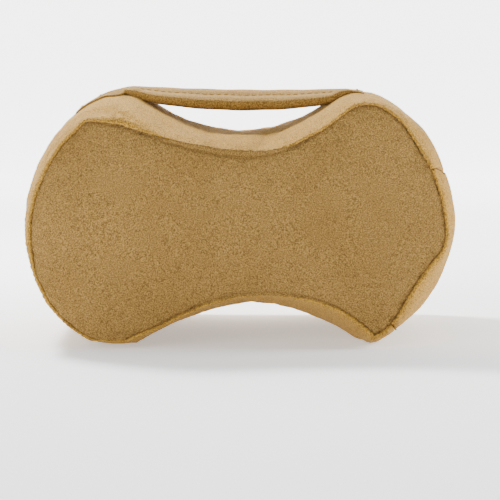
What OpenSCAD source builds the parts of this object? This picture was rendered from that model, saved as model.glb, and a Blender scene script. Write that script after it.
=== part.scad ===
// Contoured leg spacer cushion: a waisted foam block in a zipped velour cover,
// with an elastic strap that bridges the recess in its top.
// Millimetres. X runs along the cushion, Y from front to rear, Z up.
// The origin is the middle of the footprint, on the surface the cushion stands on.

/* [Cushion outline] */
// Length of the cushion, end to end
cushion_len = 254; // [244:1:264]
// Radius of the two round ends
end_r = 81; // [80:0.5:82]
// Height of the centres of the round ends
end_z = 69.3; // [69:0.1:70]
// Height of the lowest point of the recess in the top
top_recess_z = 120; // [116:1:123]
// Radius of the recess in the top
top_recess_r = 88; // [84:1:96]
// Height of the highest point of the recess underneath
base_recess_z = 20; // [17:1:23]
// Radius of the recess underneath
base_recess_r = 96; // [90:1:102]
// Sideways offset of the recess underneath
base_recess_x = 5; // [0:1:7]
// Rounding of the two upper lobes
top_corner_r = 24; // [20:1:26]
// Rounding of the two lower lobes
base_corner_r = 15; // [11:1:17]

/* [Cushion depth] */
// Distance between the front and rear seams
seam_depth = 196; // [180:1:210]
// How far the sides pull in from mid-depth to a seam
crown = 12; // [12:0.5:14]
// How far a face panel swells past its seam
dome = 3.5; // [2:0.5:5]
// Thickness of the velour
fabric_t = 1.2; // [1:0.1:1.4]

/* [Zip] */
// Lower end of the zip, as an angle on the right-hand round end
zip_low = -55; // [-56:1:-52]
// Upper end of the zip, as an angle on the right-hand round end
zip_high = 19; // [18:1:21]
// Half of the gap between the folded edges beside the teeth
zip_gap = 4; // [4:0.1:4.2]
// Depth of the valley that the zip lies in
zip_valley = 4.2; // [4.1:0.1:4.3]
// Distance from one tooth to the next on one tape, as an angle
tooth_step = 1.95; // [1.9:0.05:2.1]
// Length of the pull tab, from its pin
pull_len = 15; // [12:1:15]

/* [Strap] */
// Width of the strap
strap_w = 50; // [40:1:54]
// Middle of the strap, measured from mid-depth
strap_y = -12; // [-16:1:0]
// Thickness of the strap
strap_t = 3.2; // [3.2:0.1:3.4]
// How far the front edge of the strap curls down at mid-span
strap_curl = 9; // [4:0.5:9.5]
// Height of the strap's top at its left end
strap_left_z = 147.2; // [147:0.1:148]
// Height of the strap's top at its right end
strap_right_z = 146.4; // [146.2:0.1:147]

/* [Hidden] */

velour = [0.67, 0.54, 0.34];
velour_side = [0.76, 0.63, 0.42];
thread = [0.52, 0.40, 0.22];
foam_cream = [0.93, 0.88, 0.72];
zip_tan = [0.60, 0.48, 0.30];
zip_metal = [0.62, 0.50, 0.30];

seam_y = seam_depth / 2;
gap = 0.3;                       // between one layer and the next
thread_r = 0.4;
fine_thread_r = 0.3;
seam_stitch = 4.5;
join_stitch = 5;
seam_groove = 3 * thread_r;      // between a face panel's edge and the gusset's
join_gap = 0.35;                 // half the gap at a cross seam, as an angle

// Centres of the arcs of the outline, in the plane of X and Z
end_x = cushion_len / 2 - end_r;
right_end = [end_x, end_z];
left_end = [-end_x, end_z];
top_mid = [0, top_recess_z + top_recess_r];
base_mid = [base_recess_x, base_recess_z - base_recess_r];

// Where two circles meet, on the side given by the sign
function meet(a, ra, b, rb, sign) =
    let (d = norm(b - a), m = (ra * ra - rb * rb + d * d) / (2 * d), e = (b - a) / d)
    a + m * e + sign * sqrt(ra * ra - m * m) * [-e[1], e[0]];
function corner(end, mid, mid_r, r, sign) = meet(end, end_r - r, mid, mid_r + r, sign);
top_right = corner(right_end, top_mid, top_recess_r, top_corner_r, -1);
top_left = corner(left_end, top_mid, top_recess_r, top_corner_r, 1);
base_right = corner(right_end, base_mid, base_recess_r, base_corner_r, 1);
base_left = corner(left_end, base_mid, base_recess_r, base_corner_r, -1);

// Stations along an arc. Each is a point of the outline and the outward direction there.
function heading(from, to) = atan2(to[1] - from[1], to[0] - from[0]);
function turn(a) = (a + 360) % 360;
function ray(a) = [cos(a), sin(a)];
function bulge(c, r, a0, a1, n, last = 0) =
    [for (i = [0 : n - 1 + last]) let (u = ray(a0 + (a1 - a0) * i / n)) [c + r * u, u]];
function hollow(c, r, a0, a1, n) = [for (s = bulge(c, r, a0, a1, n)) [s[0], -s[1]]];

// The outline is one loop, cut in two at the cross seams beside the zip.
// The gusset takes the long part, anticlockwise, and the zip panels the rest.
gusset_line = concat(
    bulge(right_end, end_r, zip_high + join_gap, heading(right_end, top_right), 5),
    bulge(top_right, top_corner_r, heading(right_end, top_right), heading(top_right, top_mid), 4),
    hollow(top_mid, top_recess_r, heading(top_mid, top_right), heading(top_mid, top_left), 12),
    bulge(top_left, top_corner_r, heading(top_left, top_mid), heading(left_end, top_left), 4),
    bulge(left_end, end_r, heading(left_end, top_left), turn(heading(left_end, base_left)), 16),
    bulge(base_left, base_corner_r,
          turn(heading(left_end, base_left)), turn(heading(base_left, base_mid)), 3),
    hollow(base_mid, base_recess_r, heading(base_mid, base_left), heading(base_mid, base_right), 12),
    bulge(base_right, base_corner_r,
          turn(heading(base_right, base_mid)), turn(heading(right_end, base_right)), 3),
    bulge(right_end, end_r, heading(right_end, base_right), zip_low - join_gap, 1, 1)
);
zip_line = bulge(right_end, end_r, zip_low + join_gap, zip_high - join_gap, 12, 1);
whole_line = concat(gusset_line, zip_line);

// How far the side stands in from the outline at depth y, and the extra at the zip
function crown_at(y) = crown * (1 - sqrt(max(0, cos(90 * y / seam_y))));
valley_w = 10;
foam_valley_w = 15;
function valley_at(y, w = valley_w) =
    let (s = min(1, max(0, (abs(y) - zip_gap) / w))) (1 + cos(180 * s)) / 2;

// Depths at which the side is measured, from the front seam to the rear one
half_crown_ys = [for (a = [0 : 15 : 75]) -seam_y * cos(a)];
gusset_ys = concat(half_crown_ys, [0], [for (i = [5 : -1 : 0]) -half_crown_ys[i]]);
valley_shoulder_y = 28;
valley_ys = [-valley_shoulder_y, -zip_gap - valley_w, -zip_gap - valley_w / 2, -zip_gap];
zip_front_ys = concat([for (i = [0 : 4]) half_crown_ys[i]], valley_ys);
zip_rear_ys = [for (i = [len(zip_front_ys) - 1 : -1 : 0]) -zip_front_ys[i]];
foam_ys = concat(zip_front_ys, zip_rear_ys);

// Cross-section of the side as [stand-in, y], moved d inwards along its own normal
function section(ys, valley, d, w = valley_w) =
    let (p = [for (y = ys) [crown_at(y) + valley * valley_at(y, w), y]], n = len(p) - 1)
    [for (i = [0 : n])
        let (t = p[min(i + 1, n)] - p[max(i - 1, 0)],
             at_seam = abs(p[i][1]) > seam_y - 0.001,
             at_fold = abs(abs(p[i][1]) - zip_gap) < 0.001,
             u = at_seam ? [0, sign(p[i][1])] : at_fold ? [-1, 0] : [-t[1], t[0]] / norm(t))
        p[i] - d * u];

// A cross-section set at a station of the outline, kept above the floor
function place(station, sec, low) =
    [for (s = sec) let (q = station[0] - s[0] * station[1]) [q[0], s[1], max(low, q[1])]];

// Solids built from a stack of rings that all have the same number of points
function band(a, b, n) =
    [for (i = [0 : n - 1]) let (j = (i + 1) % n)
        each [[a * n + i, b * n + i, b * n + j], [a * n + i, b * n + j, a * n + j]]];
function bands(rings) =
    let (n = len(rings[0])) [for (k = [0 : len(rings) - 2]) each band(k, k + 1, n)];
function flat(rings) = [for (r = rings) each r];
function strip_cap(a, n, first) =
    [for (i = [0 : n / 2 - 2])
        let (p = a * n + i, q = a * n + i + 1, r = a * n + n - 2 - i, s = a * n + n - 1 - i)
        each first ? [[p, q, r], [p, r, s]] : [[p, r, q], [p, s, r]]];

// Rings closed at both ends by a point
module domed_stack(rings, start, finish) {
    n = len(rings[0]);
    m = len(rings);
    polyhedron(
        concat(flat(rings), [start, finish]),
        concat(bands(rings),
               [for (i = [0 : n - 1]) [n * m, i, (i + 1) % n]],
               [for (i = [0 : n - 1]) [n * m + 1, (m - 1) * n + (i + 1) % n, (m - 1) * n + i]]));
}

// Rings whose first half faces their second half, closed at both ends by a strip
module strip_stack(rings) {
    n = len(rings[0]);
    m = len(rings);
    polyhedron(flat(rings), concat(bands(rings), strip_cap(0, n, true), strip_cap(m - 1, n, false)));
}

// Rings closed into a sleeve: the last joins the first
module sleeve_stack(rings) {
    n = len(rings[0]);
    polyhedron(flat(rings), concat(bands(rings), band(len(rings) - 1, 0, n)));
}

// A sheet of fabric along a run of stations, t thick
module side_sheet(line, ys, valleys) {
    strip_stack([for (i = [0 : len(line) - 1]) concat(
        place(line[i], section(ys, valleys[i], 0), 0),
        reverse(place(line[i], section(ys, valleys[i], fabric_t), fabric_t)))]);
}
function reverse(v) = [for (i = [len(v) - 1 : -1 : 0]) v[i]];

// The valley is full depth along the zip and fades out at the cross seams
function zip_fade(i) = min(1, i, len(zip_line) - 1 - i);
zip_valleys = [for (i = [0 : len(zip_line) - 1]) zip_valley * zip_fade(i)];

// A ring of a face: the outline moved in, shrunk to a share of its size about the middle
face_mid = [0, end_z];
face_shares = [1, 0.9, 0.68, 0.36];
function face_ring(inset, share, y) =
    [for (s = whole_line)
        let (q = face_mid + share * (s[0] - inset * s[1] - face_mid)) [q[0], y, q[1]]];
function swell(share) = dome * (1 - share * share);

module face_panel(side) {
    edge = crown + seam_groove;
    outer = [for (i = [3 : -1 : 0]) face_ring(edge, face_shares[i], side * (seam_y + swell(face_shares[i])))];
    inner = [for (s = face_shares) face_ring(edge, s, side * (seam_y + swell(s) - fabric_t))];
    rings = concat(outer, inner);
    tip = [face_mid[0], side * (seam_y + dome), face_mid[1]];
    if (side < 0)
        domed_stack(reverse(rings), tip + [0, fabric_t, 0], tip);
    else
        domed_stack(rings, tip, tip - [0, fabric_t, 0]);
}

module front_panel() {
    color(velour) face_panel(-1);
}

module rear_panel() {
    color(velour) face_panel(1);
}

// The block has a channel for the zip and swells under the face panels
module foam_core() {
    skin = fabric_t + gap;
    channel = zip_valley + 3 * gap;
    n = len(gusset_line);
    function channel_at(i) = i >= n ? channel : i == 0 || i == n - 1 ? channel / 2 : 0;
    secs = [for (i = [0 : len(whole_line) - 1]) place(
        whole_line[i], section(foam_ys, channel_at(i), skin, foam_valley_w), skin)];
    side = [for (k = [0 : len(foam_ys) - 1]) [for (s = secs) s[k]]];
    function under_face(share, s) = face_ring(
        crown + seam_groove, share, s * (seam_y + swell(share) - skin));
    front = [for (i = [3 : -1 : 0]) under_face(face_shares[i], -1)];
    rear = [for (share = face_shares) under_face(share, 1)];
    tip = [0, seam_y + dome - skin, 0];
    mid = [face_mid[0], 0, face_mid[1]];
    color(foam_cream) domed_stack(reverse(concat(front, side, rear)), mid + tip, mid - tip);
}

module gusset_band() {
    color(velour_side) side_sheet(gusset_line, gusset_ys, [for (s = gusset_line) 0]);
}

module zip_panel_front() {
    color(velour_side) side_sheet(zip_line, zip_front_ys, zip_valleys);
}

module zip_panel_rear() {
    color(velour_side) side_sheet(zip_line, zip_rear_ys, zip_valleys);
}

// Levels of the zip, as distances from the axis of the right-hand round end.
// Each tape lies under its panel, and the teeth stand on the tapes' inner edges.
tape_t = 0.6;
tooth_t = 2;
slider_t = 1.2;
seat = 0.05;
tape_r1 = end_r - zip_valley - fabric_t - gap;
tooth_r1 = tape_r1 + tooth_t;
slider_r0 = tooth_r1 + gap;
slider_r1 = slider_r0 + slider_t;
pin_level = end_r - 1;

// Places along the zip, as angles
tape_margin = 0.8;
tooth_margin = 3;
tooth_low = zip_low + tooth_margin;
tooth_high = zip_high - tooth_margin;
slider_rest = zip_high - 7.5;

// Local X is radial at angle a of the right-hand round end, and local Z is -Y
module on_arc(a) {
    translate([end_x, 0, end_z]) rotate([90, 0, 0]) rotate([0, 0, a]) children();
}

// Sweeps a section, drawn in local X and Z, from one angle to another
module arc_sweep(a0, a1) {
    on_arc(a0) rotate_extrude(angle = a1 - a0, $fn = 180) children();
}

function tape_top(y) =
    end_r - crown_at(y) - zip_valley * valley_at(max(y, zip_gap)) - fabric_t - gap;
module zip_tape(side) {
    inner_edge = 1.2;
    ys = [inner_edge, zip_gap, zip_gap + valley_w / 2, zip_gap + valley_w];
    top = [for (y = ys) [tape_top(y), -side * y]];
    arc_sweep(zip_low + tape_margin, zip_high - tape_margin)
        polygon(concat(top, reverse([for (p = top) p - [tape_t, 0]])));
}

module zip_tape_front() {
    color(zip_tan) zip_tape(-1);
}

module zip_tape_rear() {
    color(zip_tan) zip_tape(1);
}

// The teeth of one tape reach past the middle, between those of the other
module zip_teeth(side, shift) {
    tooth_w = 0.95;
    reach = 0.6;
    root = 2.8;
    for (a = [tooth_low + shift : tooth_step : tooth_high])
        on_arc(a) translate([tape_r1 + seat, -tooth_w / 2, side > 0 ? -root : -reach])
            cube([tooth_t - seat, tooth_w, root + reach]);
}

module zip_teeth_front() {
    color(zip_metal) zip_teeth(-1, 0);
}

module zip_teeth_rear() {
    color(zip_metal) zip_teeth(1, tooth_step / 2);
}

stop_gap = 1.4;
module zip_stop(a) {
    stop_w = 4.6;
    stop_len = 1.4;
    color(zip_metal) on_arc(a) translate([tape_r1 + seat, -stop_len / 2, -stop_w / 2])
        cube([tooth_t, stop_len, stop_w]);
}

module zip_top_stop() {
    zip_stop(tooth_high + stop_gap + tooth_step / 4);
}

module zip_bottom_stop() {
    zip_stop(tooth_low - stop_gap);
}

// The slider rides over the teeth as a channel, with two ears and a pin for the pull tab
slider_half_w = 3.7;
slider_half_angle = 3.2;
pin_r = 0.45;
eye_wall = 0.5;
module zip_slider() {
    wall = 0.6;
    foot = tape_r1 + gap;
    sink = 0.3;
    ear_y = 2.5;
    ear_t = 0.9;
    ear_r = pin_r + eye_wall;
    color(zip_metal) {
        arc_sweep(slider_rest - slider_half_angle, slider_rest + slider_half_angle)
            polygon([
                [slider_r0, wall - slider_half_w], [foot, wall - slider_half_w],
                [foot, -slider_half_w], [slider_r1, -slider_half_w],
                [slider_r1, slider_half_w], [foot, slider_half_w],
                [foot, slider_half_w - wall], [slider_r0, slider_half_w - wall]]);
        on_arc(slider_rest) {
            for (s = [-1, 1]) translate([0, 0, s > 0 ? ear_y : -ear_y - ear_t]) {
                translate([pin_level, 0, 0]) cylinder(r = ear_r, h = ear_t, $fn = 32);
                translate([slider_r1 - sink, -ear_r, 0])
                    cube([pin_level - slider_r1 + sink, 2 * ear_r, ear_t]);
            }
            translate([pin_level, 0, -ear_y - ear_t / 2])
                cylinder(r = pin_r, h = 2 * ear_y + ear_t, $fn = 32);
        }
    }
}

// The pull tab hangs from the pin and lies along the teeth
module zip_pull_tab() {
    tab_w = 4.6;
    tab_t = 0.9;
    pin_play = 0.05;
    eye_r = pin_r + eye_wall;
    tip_r = tab_w / 2;
    slot_r = 1.1;
    lean = 4;
    color(zip_metal) on_arc(slider_rest) translate([pin_level, 0, 0]) rotate([0, 0, -lean]) difference() {
        union() {
            translate([0, 0, -tab_w / 2]) cylinder(r = eye_r, h = tab_w, $fn = 32);
            translate([-tab_t / 2, tip_r - pull_len, -tab_w / 2]) cube([tab_t, pull_len - tip_r, tab_w]);
            translate([-tab_t / 2, tip_r - pull_len, 0]) rotate([0, 90, 0])
                cylinder(r = tip_r, h = tab_t, $fn = 48);
        }
        translate([0, 0, -tab_w]) cylinder(r = pin_r + pin_play, h = 2 * tab_w, $fn = 32);
        translate([-tab_t, tip_r - pull_len, 0]) rotate([0, 90, 0])
            cylinder(r = slot_r, h = 2 * tab_t, $fn = 32);
    }
}

// One stitch: a short round length of thread from a to b
module stitch(a, b, r) {
    d = b - a;
    translate(a) rotate([0, acos(d[2] / norm(d)), atan2(d[1], d[0])]) cylinder(r = r, h = norm(d), $fn = 16);
}
stitch_gap_share = 0.14;         // of a stitch's pitch, left bare at each of its ends
module stitches_between(a, b, count, r) {
    for (i = [0 : count - 1])
        stitch(a + (b - a) * (i + stitch_gap_share) / count,
               a + (b - a) * (i + 1 - stitch_gap_share) / count, r);
}

module seam_thread(side) {
    n = len(whole_line);
    inset = crown + seam_groove / 2;
    sunk = 0.1;
    pts = [for (s = whole_line) let (q = s[0] - inset * s[1]) [q[0], side * (seam_y - sunk), q[1]]];
    color(thread) for (i = [0 : n - 1]) {
        a = pts[i];
        b = pts[(i + 1) % n];
        stitches_between(a, b, max(1, round(norm(b - a) / seam_stitch)), thread_r);
    }
}

module front_seam_thread() {
    seam_thread(-1);
}

module rear_seam_thread() {
    seam_thread(1);
}

// A point of the right-hand round end at angle a and depth y, raised by up
function on_round_end(a, y, valley, up) =
    let (r = end_r - crown_at(y) - valley * valley_at(y) + up)
    [end_x + r * cos(a), y, end_z + r * sin(a)];

module join_thread(a) {
    color(thread) for (i = [1 : len(gusset_ys) - 3])
        let (p = on_round_end(a, gusset_ys[i], 0, -thread_r),
             q = on_round_end(a, gusset_ys[i + 1], 0, -thread_r))
        stitches_between(p, q, max(1, round(norm(q - p) / join_stitch)), fine_thread_r);
}

module upper_join_thread() {
    join_thread(zip_high);
}

module lower_join_thread() {
    join_thread(zip_low);
}

module zip_topstitch(side) {
    y = side * (zip_gap + valley_w / 2);
    step = (zip_high - zip_low - 2 * join_gap) / (len(zip_line) - 1);
    up = fine_thread_r + 0.1;
    color(thread) for (i = [1 : len(zip_line) - 3])
        let (a = zip_low + join_gap + i * step)
        stitches_between(on_round_end(a, y, zip_valley, up),
                         on_round_end(a + step, y, zip_valley, up), 2, fine_thread_r);
}

module zip_topstitch_front() {
    zip_topstitch(-1);
}

module zip_topstitch_rear() {
    zip_topstitch(1);
}

// Strap: its span hangs free, and each end lies on a lobe
strap_x0 = -58;
strap_x1 = 56;
strap_steps = 16;
strap_mid_x = -1;
strap_reach = 62;
strap_sag = 2.4;
strap_curl_power = 0.7;
strap_flat_share = 0.55;         // of the width, before the front edge starts to curl
cover_t = 0.8;
elastic_t = 0.7;
function strap_top(x) =
    let (s = (x - strap_x0) / (strap_x1 - strap_x0))
    strap_left_z + (strap_right_z - strap_left_z) * s - strap_sag * s * (1 - s);
function curl_at(x) =
    strap_curl * pow(max(0, 1 - pow((x - strap_mid_x) / strap_reach, 2)), strap_curl_power);

// A loop round the strap at x: half_t either side of its middle line, kept margin from its edges
function strap_loop(x, half_t, margin) =
    let (n = 8,
         ys = [for (i = [0 : n]) strap_y + (strap_w / 2 - margin) * (1 - 2 * i / n)],
         mid = [for (i = [0 : n])
             let (k = max(0, (i / n - strap_flat_share) / (1 - strap_flat_share)))
             [ys[i], strap_top(x) - strap_t / 2 - curl_at(x) * k * k]],
         out = [for (i = [0 : n])
             let (t = mid[min(i + 1, n)] - mid[max(i - 1, 0)]) [t[1], -t[0]] / norm(t)],
         edge = [for (e = [0, n]) let (t = mid[e] - mid[e == 0 ? 1 : n - 1]) t / norm(t)],
         upper = [for (i = [0 : n]) mid[i] + half_t * out[i]],
         lower = [for (i = [n : -1 : 0]) mid[i] - half_t * out[i]],
         loop = concat(upper, [mid[n] + half_t * edge[1]], lower, [mid[0] + half_t * edge[0]]))
    [for (p = loop) [x, p[0], p[1]]];
strap_xs = [for (i = [0 : strap_steps]) strap_x0 + (strap_x1 - strap_x0) * i / strap_steps];
strap_half = strap_t / 2;

module strap_sleeve() {
    hole = [for (x = strap_xs) strap_loop(x, strap_half - cover_t, strap_half)];
    color(velour) sleeve_stack(concat(
        [for (x = strap_xs) strap_loop(x, strap_half, strap_half)], reverse(hole)));
}

module strap_elastic() {
    rings = [for (x = strap_xs) strap_loop(x, elastic_t / 2, strap_half + gap)];
    color(foam_cream) domed_stack(rings, rings[0][4] - [0, 0, elastic_t / 2],
                                  rings[strap_steps][4] - [0, 0, elastic_t / 2]);
}

// Path over a lobe, raised by up: its rounding from a0 to a1, then the round end to a2
function lobe_path(corner, end, a0, a1, a2, up) = concat(
    [for (i = [0 : 6]) corner + (top_corner_r + up) * ray(a0 + (a1 - a0) * i / 6)],
    a1 == a2 ? [] : [for (i = [1 : 4]) end + (end_r + up) * ray(a1 + (a2 - a1) * i / 4)]);
end_gap = 0.25;
end_t = 1.6;
left_top_angle = 92;             // where each end leaves its lobe for the span, above and below
left_under_angle = 80;
right_top_angle = 90;
right_under_angle = 100;

module strap_end(side_outline) {
    translate([0, strap_y + strap_w / 2, 0]) rotate([90, 0, 0])
        linear_extrude(strap_w) polygon(side_outline);
}

// The left end runs on over the shoulder of its lobe
left_turn = heading(left_end, top_left);
left_tail = left_turn + 14;
left_rows = [left_turn + 3, left_turn + 11];
module strap_left_end() {
    x = strap_x0 - gap;
    color(velour) strap_end(concat(
        [[x, strap_left_z]],
        lobe_path(top_left, left_end, left_top_angle, left_turn, left_tail, end_gap + end_t),
        reverse(lobe_path(top_left, left_end, left_under_angle, left_turn, left_tail, end_gap)),
        [[x, strap_left_z - strap_t]]));
}

// The right end stops just past the top of its lobe
right_tail = 84;
right_row = right_tail + 4;
module strap_right_end() {
    x = strap_x1 + gap;
    color(velour) strap_end(concat(
        [[x, strap_right_z - strap_t]],
        lobe_path(top_right, right_end, right_under_angle, right_tail, right_tail, end_gap),
        reverse(lobe_path(top_right, right_end, right_top_angle, right_tail, right_tail,
                          end_gap + end_t)),
        [[x, strap_right_z]]));
}

thread_lift = 0.04;
module strap_hem_thread() {
    y = strap_y - 1;
    color(thread) for (i = [0 : strap_steps - 1])
        let (a = strap_xs[i], b = strap_xs[i + 1], up = fine_thread_r + thread_lift)
        stitches_between([a, y, strap_top(a) + up], [b, y, strap_top(b) + up], 2, fine_thread_r);
}

// A row of stitches across the strap, at a point of the plane of X and Z
module cross_row(p) {
    w = strap_w / 2 - 3;
    color(thread) stitches_between([p[0], strap_y - w, p[1]], [p[0], strap_y + w, p[1]],
                                   round(2 * w / join_stitch), fine_thread_r);
}
row_up = end_gap + end_t + fine_thread_r + thread_lift;

module strap_left_stitches() {
    for (a = left_rows)
        cross_row(left_end + (end_r + row_up) * ray(a));
}

module strap_right_stitches() {
    cross_row(top_right + (top_corner_r + row_up) * ray(right_row));
}

foam_core();
front_panel();
rear_panel();
gusset_band();
zip_panel_front();
zip_panel_rear();
zip_tape_front();
zip_tape_rear();
zip_teeth_front();
zip_teeth_rear();
zip_top_stop();
zip_bottom_stop();
zip_slider();
zip_pull_tab();
front_seam_thread();
rear_seam_thread();
upper_join_thread();
lower_join_thread();
zip_topstitch_front();
zip_topstitch_rear();
strap_left_end();
strap_sleeve();
strap_elastic();
strap_right_end();
strap_hem_thread();
strap_left_stitches();
strap_right_stitches();
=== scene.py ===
import math

import bpy
import numpy as np
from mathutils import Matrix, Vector
from mathutils.bvhtree import BVHTree


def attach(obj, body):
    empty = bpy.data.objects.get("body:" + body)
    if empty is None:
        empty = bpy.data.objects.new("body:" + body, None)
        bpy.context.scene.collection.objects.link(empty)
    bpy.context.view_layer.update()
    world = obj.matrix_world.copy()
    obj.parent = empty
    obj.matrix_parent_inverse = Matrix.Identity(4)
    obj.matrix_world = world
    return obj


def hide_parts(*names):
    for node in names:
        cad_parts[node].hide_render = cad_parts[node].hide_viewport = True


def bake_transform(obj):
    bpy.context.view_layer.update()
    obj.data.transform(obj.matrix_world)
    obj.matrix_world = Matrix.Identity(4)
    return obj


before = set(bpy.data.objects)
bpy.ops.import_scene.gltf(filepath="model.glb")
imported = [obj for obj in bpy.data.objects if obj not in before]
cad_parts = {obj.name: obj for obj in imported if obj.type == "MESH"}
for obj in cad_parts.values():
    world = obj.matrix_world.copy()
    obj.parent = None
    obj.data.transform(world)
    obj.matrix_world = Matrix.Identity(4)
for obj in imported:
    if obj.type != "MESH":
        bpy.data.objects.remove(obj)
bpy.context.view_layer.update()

# ---------------------------------------------------------------- sizes, in metres
# The outline's arcs are the CAD's: two round ends, two recesses and four rounded lobes.
END_X, END_Z, END_R = 0.046, 0.0693, 0.081
TOP_MID, TOP_R = np.array([0.0, 0.208]), 0.088
BASE_MID, BASE_R = np.array([0.005, -0.076]), 0.096
TOP_LOBE_R, BASE_LOBE_R = 0.024, 0.015
ZIP_LOW, ZIP_HIGH = math.radians(-55), math.radians(19)
SEAM_Y = 0.098           # the front and rear seams' distance from mid-depth
CROWN = 0.012            # how far the side turns in from mid-depth to the rear seam
CROWN_POWER = 0.62       # lower values keep the side flatter and turn it in more sharply at the seams
DOME, DOME_W = 0.0022, 0.036
HEM_ROLL, HEM_DEPTH = 0.0012, 0.004
FOLD_STEP = 0.0004
CREASE = 0.0008          # the seam shows this much further in than the gusset's edge
PANEL_GAP = 0.0002       # between a face panel's edge and the rolled edge of the side
EDGE_ROLL = 0.0024       # the face panels are rounded by this radius at their seams
JOIN = 0.0005            # half of the gap between two panels at a cross seam
JOIN_CURVE = 0.012       # how far the upper cross seam rises from mid-depth to the front and rear seams
ZIP_GAP, ZIP_VALLEY, ZIP_VALLEY_W, ZIP_DIP_END = 0.004, 0.0042, 0.010, 0.009
STRAP_Y, STRAP_W, STRAP_T = -0.012, 0.050, 0.0032
THREAD_R = 0.00042
REST_Y = 0.055           # the cushion rests on the floor as far out as this
SEAM_LIFT = 0.0050       # and its seams stand this high above it
FLOOR_SOFT = 0.0005
TAPE_W, TAPE_T, TAPE_DEPTH = 0.0128, 0.0006, 0.0015
TAPE_START = 0.0012      # the tapes begin this far from the cross seams and from mid-depth
FOAM_INSET, FOAM_DOME = 0.0040, 0.0025
FULL_TURN = 2 * math.pi


# ---------------------------------------------------------------- the outline
def heading(a, b):
    return math.atan2(b[1] - a[1], b[0] - a[0])


def lobe_centre(end, mid, mid_r, r, sign):
    """Centre of the rounding of radius r between a round end and a recess."""
    ra, rb = END_R - r, mid_r + r
    d = np.linalg.norm(mid - end)
    m = (ra * ra - rb * rb + d * d) / (2 * d)
    e = (mid - end) / d
    return end + m * e + sign * math.sqrt(ra * ra - m * m) * np.array([-e[1], e[0]])


RIGHT, LEFT = np.array([END_X, END_Z]), np.array([-END_X, END_Z])
TOP_RIGHT = lobe_centre(RIGHT, TOP_MID, TOP_R, TOP_LOBE_R, -1)
TOP_LEFT = lobe_centre(LEFT, TOP_MID, TOP_R, TOP_LOBE_R, 1)
BASE_RIGHT = lobe_centre(RIGHT, BASE_MID, BASE_R, BASE_LOBE_R, 1)
BASE_LEFT = lobe_centre(LEFT, BASE_MID, BASE_R, BASE_LOBE_R, -1)


def arc(centre, radius, start, end, side):
    """One arc of the outline, with its sweep; side is 1 where the cushion bulges and -1 in a recess."""
    sweep = (end - start) % FULL_TURN if side > 0 else -((start - end) % FULL_TURN)
    return (centre, radius, start, sweep, side)


def make_arcs():
    """The outline's arcs, anticlockwise from the upper cross seam."""
    return [
        arc(RIGHT, END_R, ZIP_HIGH, heading(RIGHT, TOP_RIGHT), 1),
        arc(TOP_RIGHT, TOP_LOBE_R, heading(RIGHT, TOP_RIGHT), heading(TOP_RIGHT, TOP_MID), 1),
        arc(TOP_MID, TOP_R, heading(TOP_MID, TOP_RIGHT), heading(TOP_MID, TOP_LEFT), -1),
        arc(TOP_LEFT, TOP_LOBE_R, heading(TOP_LEFT, TOP_MID), heading(LEFT, TOP_LEFT), 1),
        arc(LEFT, END_R, heading(LEFT, TOP_LEFT), heading(LEFT, BASE_LEFT), 1),
        arc(BASE_LEFT, BASE_LOBE_R, heading(LEFT, BASE_LEFT), heading(BASE_LEFT, BASE_MID), 1),
        arc(BASE_MID, BASE_R, heading(BASE_MID, BASE_LEFT), heading(BASE_MID, BASE_RIGHT), -1),
        arc(BASE_RIGHT, BASE_LOBE_R, heading(BASE_RIGHT, BASE_MID), heading(RIGHT, BASE_RIGHT), 1),
        arc(RIGHT, END_R, heading(RIGHT, BASE_RIGHT), ZIP_LOW, 1),
        arc(RIGHT, END_R, ZIP_LOW, ZIP_HIGH, 1),
    ]


ARCS = make_arcs()
ARC_ENDS = np.cumsum([0.0] + [abs(a[3]) * a[1] for a in ARCS])
PERIMETER = ARC_ENDS[-1]
ZIP_START = ARC_ENDS[-2]


def outline(s):
    """Points and outward directions at distances s along the outline, each as rows of x and z."""
    s = np.mod(np.asarray(s, float), PERIMETER)
    k = np.clip(np.searchsorted(ARC_ENDS, s, side="right") - 1, 0, len(ARCS) - 1)
    centre = np.array([a[0] for a in ARCS])[k]
    radius = np.array([a[1] for a in ARCS])[k]
    start = np.array([a[2] for a in ARCS])[k]
    sweep = np.array([a[3] for a in ARCS])[k]
    side = np.array([a[4] for a in ARCS])[k]
    angle = start + sweep * (s - ARC_ENDS[k]) / (ARC_ENDS[k + 1] - ARC_ENDS[k])
    ray = np.stack([np.cos(angle), np.sin(angle)], -1)
    return centre + radius[..., None] * ray, side[..., None] * ray


def arc_middle(k):
    return (ARC_ENDS[k] + ARC_ENDS[k + 1]) / 2


def bump_at(s, centre, width):
    """A smooth bump of height 1 around a place on the outline."""
    d = np.mod(s - centre + PERIMETER / 2, PERIMETER) - PERIMETER / 2
    return np.exp(-(d / width) ** 2)


def ripple(s, counts, seed):
    """An irregular wave along the closed outline, from whole numbers of turns round it."""
    rng = np.random.default_rng(seed)
    phase = rng.uniform(0, FULL_TURN, len(counts))
    size = rng.uniform(0.6, 1.0, len(counts))
    return sum(a * np.sin(FULL_TURN * n * s / PERIMETER + p)
               for n, p, a in zip(counts, phase, size)) / len(counts) ** 0.5


def mottle(u, v, wavelength, seed, waves=9):
    """An irregular surface wave over two distances."""
    rng = np.random.default_rng(seed)
    total = 0
    for _ in range(waves):
        a = rng.uniform(0, FULL_TURN)
        k = FULL_TURN / (wavelength * rng.uniform(0.7, 1.6))
        total = total + np.sin(k * (u * math.cos(a) + v * math.sin(a)) + rng.uniform(0, FULL_TURN))
    return total / waves ** 0.5


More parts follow.
